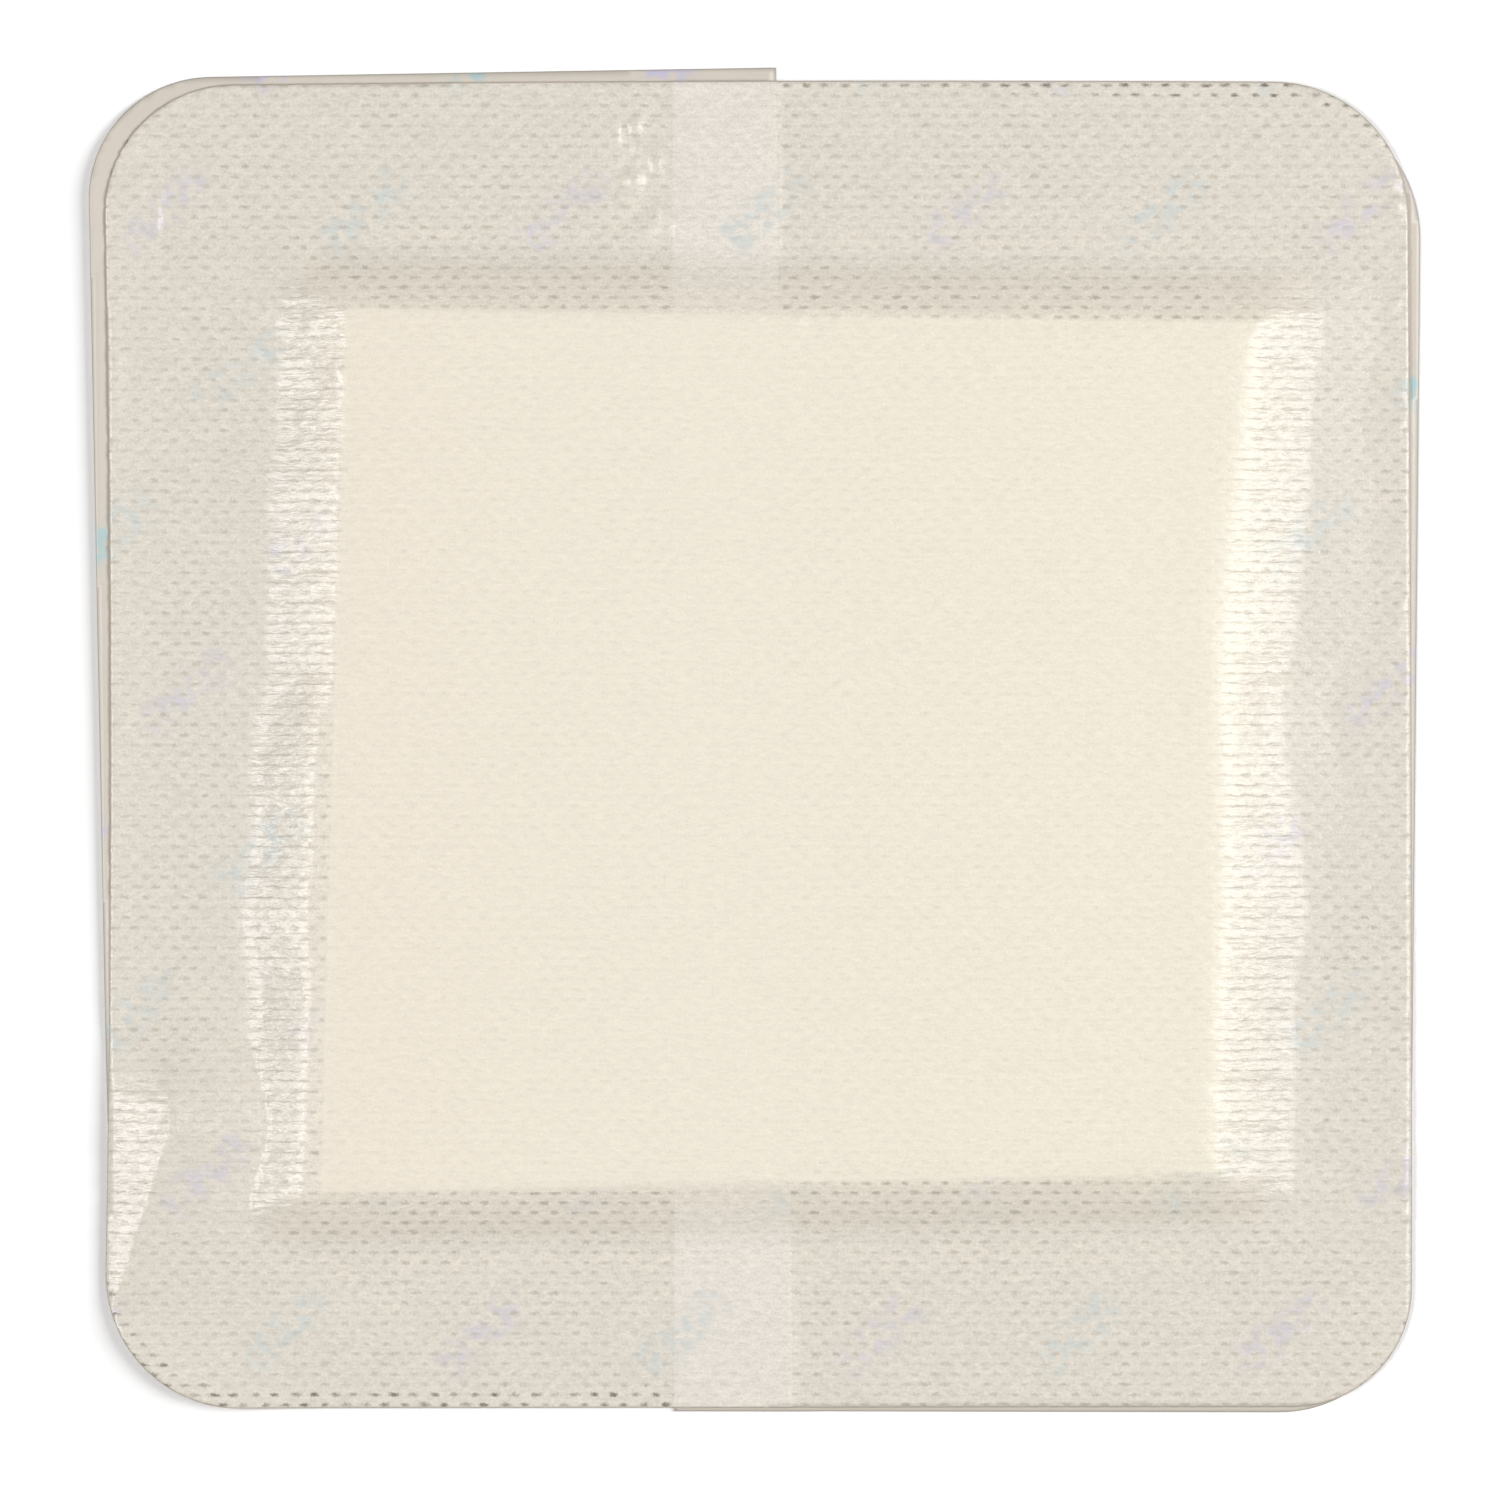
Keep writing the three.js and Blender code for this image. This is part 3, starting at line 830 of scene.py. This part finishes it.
grid = cut_grid(PAD_STEP, PAD_STEP, pad_outline)
from_edge, _ = inward_distance(grid["points"], pad_outline)
rounding = KNIFE_ROUND * (1 - np.sqrt(1 - (1 - np.clip(from_edge / KNIFE_ROUND, 0, 1)) ** 2))
below_cover = cover_underside(grid["points"]) - LAY_GAP
pad_upper = np.minimum(PAD_UNDERSIDE + PAD_THICKNESS - rounding, below_cover)
pad_lower = PAD_UNDERSIDE + LOWER_SHARE * rounding
pad = closed_sheet("foam_pad_slab", grid, pad_upper, pad_lower, foam)

# %% [markdown]
# ## Backing cover: the embossing
# The nonwoven is pressed between rollers that leave short dashes, in rows set off by half a
# dash like bricks. On the photograph the rows are 1.17 mm apart and the dashes 2.31 mm, so
# the grid has two points a row and four a dash: enough for the dashes to be real pits. Where
# the sheet bends over the pad's sides, the pits of a row run together into a crease, and the
# rows between them stand unevenly, which combs the shine into strands.

# %% Relief of the cover's top
COVER_THICKNESS = 0.25
LEAST_THICKNESS = 0.08
EMBOSS_PITCH = (2.31, 1.172)
COVER_STEP = (EMBOSS_PITCH[0] / 4, EMBOSS_PITCH[1] / 2)
PIT_DEPTH = 0.05
ROW_DEPTH = 0.012
CREASE_DEPTH = 0.03
# A slope counts as a side from this gradient on, and fully this much further up
SIDE_FROM = 0.06
SIDE_SPAN = 0.24
# Strands and waves: their height in mm on lying cloth, and what a sloping side adds
STRANDS = (0.008, 0.05)
FINE_STRANDS = 0.018
WAVES = 0.03
# The cloth is drawn tight over the pad, which takes away this share of all relief
DRAWN_FLAT = 0.6

cover_grid = cut_grid(*COVER_STEP, cover_outline)
spots = cover_grid["points"]
X = spots[:, 0]
Y = spots[:, 1]
underside = cover_underside(spots)

row_number = np.round(Y / COVER_STEP[1]).astype(int)
column_number = np.round(X / COVER_STEP[0]).astype(int)
valley = (row_number % 2) == 1
brick_row = ((row_number - 1) // 2) % 2
from_dash = (column_number + 2 * brick_row) % 4
pit = np.where(valley, np.choose(from_dash, [0.0, 0.45, 1.0, 0.45]), 0.0)

_, gradient_x = np.gradient(underside.reshape(cover_grid["shape"]), *COVER_STEP[::-1])
side_slope = np.clip((np.abs(gradient_x.ravel()) - SIDE_FROM) / SIDE_SPAN, 0, 1)
past_pad = np.max(pad_distances(spots), axis=0)
over_pad = ease(-past_pad, -1, 2)

relief_mm = -PIT_DEPTH * pit - valley * (ROW_DEPTH + CREASE_DEPTH * side_slope)
relief_mm += uneven(cover_grid, 4.0, 0.5, 21) * (STRANDS[0] + STRANDS[1] * side_slope)
relief_mm += uneven(cover_grid, 1.6, 0.5, 22) * FINE_STRANDS * side_slope
relief_mm += uneven(cover_grid, 20, 14, 31) * WAVES * (1 - over_pad)
relief_mm *= 1 - DRAWN_FLAT * over_pad
print("cover grid has", len(spots), "points,", int((pit == 1).sum()), "of them in the middle of a dash")

# %% [markdown]
# ## Backing cover: crinkles
# Here and there the cover has been rubbed or bent, and fine crinkles catch the light: a short
# run near the middle of the top, patches at the corners, and a low roll along the right rim.

# %% Crinkles and the rolled rim
CRINKLES = (
    {"from": (-15.4, 73.5), "to": (-11.2, 60.0), "width": 2.3, "depth": 0.32},
    {"from": (-73.0, 71.0), "to": (-69.5, 61.0), "width": 2.4, "depth": 0.2},
    {"from": (-56.5, 50.0), "to": (-49.5, 40.5), "width": 5.0, "depth": 0.09},
    {"from": (56.5, -51.0), "to": (61.0, -59.5), "width": 2.2, "depth": 0.06},
    {"from": (56.0, -69.0), "to": (50.5, -77.0), "width": 1.6, "depth": 0.05},
)
# The roll along the rim: how far in its middle lies, its half width, its height and its bumps
ROLL_IN = 1.3
ROLL_HALF_WIDTH = 1.1
ROLL_HEIGHT = 0.05
ROLL_BUMPS = 0.2
LEFT_ROLL_SHARE = 0.4

crinkled = uneven(cover_grid, 1.0, 1.7, 41)
for crinkle in CRINKLES:
    start = np.array(crinkle["from"])
    way = np.array(crinkle["to"]) - start
    t = np.clip(((spots - start) @ way) / (way @ way), 0, 1)
    gap = np.linalg.norm(spots - start - t[:, None] * way, axis=1)
    relief_mm += crinkled * crinkle["depth"] * np.exp(-(gap / crinkle["width"]) ** 2)

inward, _ = inward_distance(spots, cover_outline)
right_rim = ease(X, 70, 72) * ease(Y, -68, -50)
left_rim = LEFT_ROLL_SHARE * ease(-X, 71, 73)
roll = np.exp(-((inward - ROLL_IN) / ROLL_HALF_WIDTH) ** 2) * (right_rim + left_rim)
bumpy = uneven(cover_grid, 1.6, 1.0, 51)
relief_mm += roll * np.clip(ROLL_HEIGHT + ROLL_BUMPS * bumpy, 0, None)

cover_top = underside + np.maximum(COVER_THICKNESS + relief_mm, LEAST_THICKNESS)

in_left, _ = inward_distance(spots, left_outline)
in_right, _ = inward_distance(spots, right_outline)
marks = {
    "rim_mm": np.where(cover_grid["on_cut"], 0, inward),
    "pad_mm": past_pad,
    "overlap_mm": overlap_distance(spots),
    "paper_mm": np.maximum(in_left, in_right),
    "side_slope": side_slope,
}
print("cover's top reaches", round(float(cover_top[cover_grid["kept"]].max()), 2), "mm")

# %% [markdown]
# ## Backing cover: material
# The cover is a spunlaced polyester nonwoven with a thin polyurethane film, so it is
# soft-white, slightly shiny and lets a part of what lies below show through: the cream foam
# over the pad, one paper or two round it, and nothing but shade where it passes the papers'
# edges. The dashes are pressed thin and glassy, so they show most where the ground is dark.
# That shade and some of the light are painted into the colour: darker dashes past the papers'
# edges and in the gap beside the pad, a dark line along the cut, darker creases on the sides,
# lighter slopes near the pad, faded dashes where the sides shine, and a foam ground that is
# darker on the left.

# %% Embossed nonwoven: where the dashes are
# Half a dash, as shares of the pitch along the row and across it
DASH_HALF_LENGTH = (0.24, 0.36)
DASH_HALF_HEIGHT = 0.24
DASH_NUDGE = 0.07

nonwoven = empty_material("embossed_spunlaced_nonwoven")
tree = nonwoven.node_tree
place, x, y = millimetres(tree)
rows = add(tree, MATH, [y, 1 / EMBOSS_PITCH[1]], operation="MULTIPLY")
row = add(tree, MATH, [rows], operation="FLOOR")
half_row = add(tree, MATH, [row, 0.5], operation="MULTIPLY")
brick = add(tree, MATH, [half_row], operation="FRACT")
columns = add(tree, MATH, [x, 1 / EMBOSS_PITCH[0], brick], operation="MULTIPLY_ADD")
column = add(tree, MATH, [columns], operation="FLOOR")
number = add(tree, "ShaderNodeCombineXYZ", [column, row])
chance = add(tree, "ShaderNodeTexWhiteNoise", {"Vector": number}, out="Color", noise_dimensions="2D")
chances = add(tree, "ShaderNodeSeparateXYZ", [chance], out=None)

streaks = add(tree, "ShaderNodeVectorMath", [place, (0.8, 2.4, 1.0)], operation="MULTIPLY")
fibre = add(tree, "ShaderNodeTexNoise", {
    "Vector": streaks, "Scale": 1.0, "Detail": 3.0, "Roughness": 0.7,
})
fine = add(tree, "ShaderNodeTexNoise", {
    "Vector": place, "Scale": 3.4, "Detail": 2.0, "Roughness": 0.7,
})
patches = add(tree, "ShaderNodeTexNoise", {"Vector": place, "Scale": 0.11, "Detail": 2.0})

# u and v run from -0.5 to 0.5 across the cell of one dash
u = add(tree, MATH, [add(tree, MATH, [columns], operation="FRACT"), 0.5], operation="SUBTRACT")
v = add(tree, MATH, [add(tree, MATH, [rows], operation="FRACT"), 0.5], operation="SUBTRACT")
nudge = add(tree, RAMP, {"Value": chances.outputs["X"], "To Min": -DASH_NUDGE, "To Max": DASH_NUDGE})
u_nudged = add(tree, MATH, [u, nudge], operation="ADD")
long_half = add(tree, RAMP, {
    "Value": chances.outputs["Y"], "To Min": DASH_HALF_LENGTH[0], "To Max": DASH_HALF_LENGTH[1],
})
u_share = add(tree, MATH, [u_nudged, long_half], operation="DIVIDE")
astray = add(tree, MATH, [fibre, 0.5], operation="SUBTRACT")
v_bent = add(tree, MATH, [astray, 0.35, v], operation="MULTIPLY_ADD")
v_share = add(tree, MATH, [v_bent, DASH_HALF_HEIGHT], operation="DIVIDE")
from_dash_middle = add(tree, "ShaderNodeVectorMath", {
    0: add(tree, "ShaderNodeCombineXYZ", [u_share, v_share]),
}, out="Value", operation="LENGTH")
frayed = add(tree, MATH, [fine, 1.5, from_dash_middle], operation="MULTIPLY_ADD")
dash = add(tree, RAMP, {
    "Value": frayed, "From Min": 0.9, "From Max": 2.0, "To Min": 1.0, "To Max": 0.0,
}, interpolation_type="SMOOTHSTEP")

# %% Embossed nonwoven: what lies under it
# The colours are those that each ground has once the cover lies over it
GROUND_PAPER = "#DAD3C7"
GROUND_TWO_PAPERS = "#E1DAD0"
# The foam's ground is painted a little darker on the left than on the right: painted light falloff.
GROUND_PAD_SHADED_LEFT = "#EAE1D1"
GROUND_PAD_LIT_RIGHT = "#EBE4D3"
INKS_THROUGH_COVER = ("#C6CECC", "#CCC7D0")

pad_mm = add(tree, "ShaderNodeAttribute", attribute_name="pad_mm", out="Fac")
overlap_mm = add(tree, "ShaderNodeAttribute", attribute_name="overlap_mm", out="Fac")
paper_mm = add(tree, "ShaderNodeAttribute", attribute_name="paper_mm", out="Fac")
rim_mm = add(tree, "ShaderNodeAttribute", attribute_name="rim_mm", out="Fac")
slope = add(tree, "ShaderNodeAttribute", attribute_name="side_slope", out="Fac")

on_pad = add(tree, RAMP, {
    "Value": pad_mm, "From Min": -0.1, "From Max": 0.5, "To Min": 1.0, "To Max": 0.0,
})
# Past the pad's edge the cream fades out over 7 mm. It stands for the foam seen through the cover and
# also lifts the tent's slopes, which their shading leaves darker: partly painted light.
near_pad_and_slope_light = add(tree, RAMP, {
    "Value": pad_mm, "From Min": 0.0, "From Max": 7.0, "To Min": 0.75, "To Max": 0.0,
})
cream_and_slope_light = add(tree, MATH, [on_pad, near_pad_and_slope_light], operation="MAXIMUM")
on_two = add(tree, RAMP, {"Value": overlap_mm, "From Min": -0.15, "From Max": 0.15})
off_paper = add(tree, RAMP, {
    "Value": paper_mm, "From Min": -0.15, "From Max": 0.1, "To Min": 1.0, "To Max": 0.0,
})
ground = add(tree, BLEND, {
    SHARE: on_two, NONE: linear(GROUND_PAPER), FULL: linear(GROUND_TWO_PAPERS),
}, **IN_COLOUR)
stroke, odd_half = print_strokes(tree, x, y)
ink_share = add(tree, MATH, [odd_half, 2.0], operation="MULTIPLY")
ink = add(tree, BLEND, {
    SHARE: ink_share, NONE: linear(INKS_THROUGH_COVER[0]), FULL: linear(INKS_THROUGH_COVER[1]),
}, **IN_COLOUR)
seen_through = add(tree, RAMP, {"Value": fine, "From Min": 0.35, "From Max": 0.65, "To Min": 0.3})
ghost = add(tree, MATH, [stroke, seen_through], operation="MULTIPLY")
ground = add(tree, BLEND, {SHARE: ghost, NONE: ground, FULL: ink}, **IN_COLOUR)
# Painted falloff of the light: the foam ground darkens towards the left.
light_falloff_to_right = add(tree, RAMP, {"Value": x, "From Min": -45.0, "From Max": 45.0})
foam_below_with_falloff = add(tree, BLEND, {
    SHARE: light_falloff_to_right, NONE: linear(GROUND_PAD_SHADED_LEFT), FULL: linear(GROUND_PAD_LIT_RIGHT),
}, **IN_COLOUR)
ground = add(tree, BLEND, {SHARE: cream_and_slope_light, NONE: ground, FULL: foam_below_with_falloff}, **IN_COLOUR)

# %% Embossed nonwoven: colour
DASH_ON_PAPER = "#B9B2A5"
# The dashes' colour where no paper lies below stands for the shade under the cover: painted shade.
DASH_OVER_SHADE = "#7F786C"
# The crease colour is painted shade in the creases.
PAINTED_CREASE_SHADE = "#B0A694"
# The cut edge's colour is partly the glue's own and partly painted shade of the edge.
CUT_EDGE_GLUE_AND_SHADE = "#BDB0A1"
# How strong the mottle is, and how far the painted shade of a crease darkens the cloth
MOTTLE = 0.42
CREASE_SHADE_STRENGTH = 0.32

quiet = add(tree, RAMP, {"Value": on_pad, "To Min": 1.0, "To Max": 0.55})
both_noises = add(tree, MATH, [fibre, fine], operation="ADD")
mottle = add(tree, MATH, [both_noises, 1.0], operation="SUBTRACT")
mottle = add(tree, MATH, [mottle, quiet], operation="MULTIPLY")
shade = add(tree, MATH, [mottle, MOTTLE, 1.0], operation="MULTIPLY_ADD")
ground = add(tree, "ShaderNodeVectorMath", {0: ground, "Scale": shade}, operation="SCALE")

# Where no paper lies below, the dashes are painted darker and stronger: painted shade under the cover.
dash_colour = add(tree, BLEND, {
    SHARE: off_paper, NONE: linear(DASH_ON_PAPER), FULL: linear(DASH_OVER_SHADE),
}, **IN_COLOUR)
hide_pad = add(tree, RAMP, {"Value": on_pad, "To Min": 1.0, "To Max": 0.10})
hide_two = add(tree, RAMP, {"Value": on_two, "To Min": 1.0, "To Max": 0.3})
shade_under_bare_cover = add(tree, MATH, [off_paper, 0.5, 1.0], operation="MULTIPLY_ADD")
strength = add(tree, RAMP, {"Value": chances.outputs["Z"], "To Min": 0.45, "To Max": 0.95})
patchy = add(tree, RAMP, {
    "Value": patches, "From Min": 0.35, "From Max": 0.65, "To Min": 0.5, "To Max": 1.05,
})
# Dashes are darker just past the pad, where the cover tents over a gap: painted shade of the gap.
gap_shade = add(tree, RAMP, {
    "Value": pad_mm, "From Min": 0.5, "From Max": 7.0, "To Min": 1.4, "To Max": 1.0,
})
# Dashes fade on the sloping sides, where the shine falls: painted highlight.
shine_fades_dashes = add(tree, RAMP, {"Value": slope, "To Min": 1.0, "To Max": 0.28})
for factor in (patchy, hide_pad, hide_two, shade_under_bare_cover, gap_shade, shine_fades_dashes):
    strength = add(tree, MATH, [strength, factor], operation="MULTIPLY")
dash_share = add(tree, MATH, [dash, strength], operation="MULTIPLY", use_clamp=True)
coloured = add(tree, BLEND, {
    SHARE: dash_share, NONE: ground, FULL: dash_colour,
}, **IN_COLOUR)

strand_place = add(tree, "ShaderNodeVectorMath", [place, (0.35, 1.5, 1.0)], operation="MULTIPLY")
strands = add(tree, "ShaderNodeTexNoise", {
    "Vector": strand_place, "Scale": 1.0, "Detail": 2.0, "Roughness": 0.6,
})
line_v = add(tree, MATH, [astray, 0.7, v], operation="MULTIPLY_ADD")
line_v = add(tree, MATH, [line_v], operation="ABSOLUTE")
line = add(tree, RAMP, {
    "Value": line_v, "From Min": 0.02, "From Max": 0.09, "To Min": 1.0, "To Max": 0.0,
})
broken = add(tree, RAMP, {"Value": strands, "From Min": 0.38, "From Max": 0.62})
crease = add(tree, MATH, [line, broken], operation="MULTIPLY")
crease_share = add(tree, MATH, [crease, slope], operation="MULTIPLY")
# The lines along the creases are darkened: painted shade in the creases.
painted_crease_shade = add(tree, MATH, [crease_share, CREASE_SHADE_STRENGTH], operation="MULTIPLY")
coloured = add(tree, BLEND, {
    SHARE: painted_crease_shade, NONE: coloured, FULL: linear(PAINTED_CREASE_SHADE),
}, **IN_COLOUR)
# A dark line along the cut: partly the glue's colour at the cut edge, partly painted shade of the edge.
cut_edge_and_shade = add(tree, RAMP, {
    "Value": rim_mm, "From Min": 0.05, "From Max": 0.17, "To Min": 1.0, "To Max": 0.0,
})
cover_colour = add(tree, BLEND, {
    SHARE: cut_edge_and_shade, NONE: coloured, FULL: linear(CUT_EDGE_GLUE_AND_SHADE),
}, **IN_COLOUR)

# %% Embossed nonwoven: relief and gloss
# Heights as shares of FIBRE_RELIEF, in metres: dashes, creases and the strands of a side
DASH_SINKS = -0.6
CREASE_SINKS = -0.8
STRANDS_RISE = 3.0
FIBRE_RELIEF = 0.05 * MM

height = add(tree, MATH, [dash, DASH_SINKS, fibre], operation="MULTIPLY_ADD")
height = add(tree, MATH, [crease_share, CREASE_SINKS, height], operation="MULTIPLY_ADD")
combing = add(tree, MATH, [strands, slope], operation="MULTIPLY")
height = add(tree, MATH, [combing, STRANDS_RISE, height], operation="MULTIPLY_ADD")
relief = add(tree, "ShaderNodeBump", {"Height": height, "Distance": FIBRE_RELIEF})
cloth = add(tree, "ShaderNodeBsdfPrincipled", {
    "Base Color": cover_colour, "Roughness": 0.27, "IOR": 1.5, "Normal": relief,
})
add(tree, "ShaderNodeOutputMaterial", {"Surface": cloth}, out=None)
print(nonwoven.name, "has", len(tree.nodes), "nodes")

# %% [markdown]
# ## Backing cover: adhesive side
# The underside carries a soft silicone adhesive. It is clear and tacky, so the eye sees the
# cloth through it, darker and with a wet gloss. The cut edge shows it too, so the wall and the
# underside share this material.

# %% Adhesive side and cut edge
TACKY_PALE = "#CBBFAE"
TACKY_DARK = "#B5A692"

sticky = empty_material("silicone_adhesive_on_nonwoven")
tree = sticky.node_tree
place, _, _ = millimetres(tree)
flecks = add(tree, "ShaderNodeTexNoise", {"Vector": place, "Scale": 1.6, "Detail": 3.0})
tacky = add(tree, BLEND, {
    SHARE: flecks, NONE: linear(TACKY_PALE), FULL: linear(TACKY_DARK),
}, **IN_COLOUR)
relief = add(tree, "ShaderNodeBump", {"Height": flecks, "Distance": 0.03 * MM})
glue = add(tree, "ShaderNodeBsdfPrincipled", {
    "Base Color": tacky, "Roughness": 0.3, "IOR": 1.41, "Normal": relief,
})
add(tree, "ShaderNodeOutputMaterial", {"Surface": glue}, out=None)

cover = closed_sheet("backing_cover_sheet", cover_grid, cover_top, underside, nonwoven, sticky, marks)

# %% [markdown]
# ## Which piece is which
# Each piece stands for its CAD solid and rides on the one body.


PIECES = (
    (cover, "backing_cover", "nonwoven"),
    (pad, "foam_pad", "foam"),
    (papers["liner_left"], "liner_left", "release_paper"),
    (papers["liner_right"], "liner_right", "release_paper"),
)
for piece, node, slot_name in PIECES:
    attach(piece, "root")
    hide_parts(node)
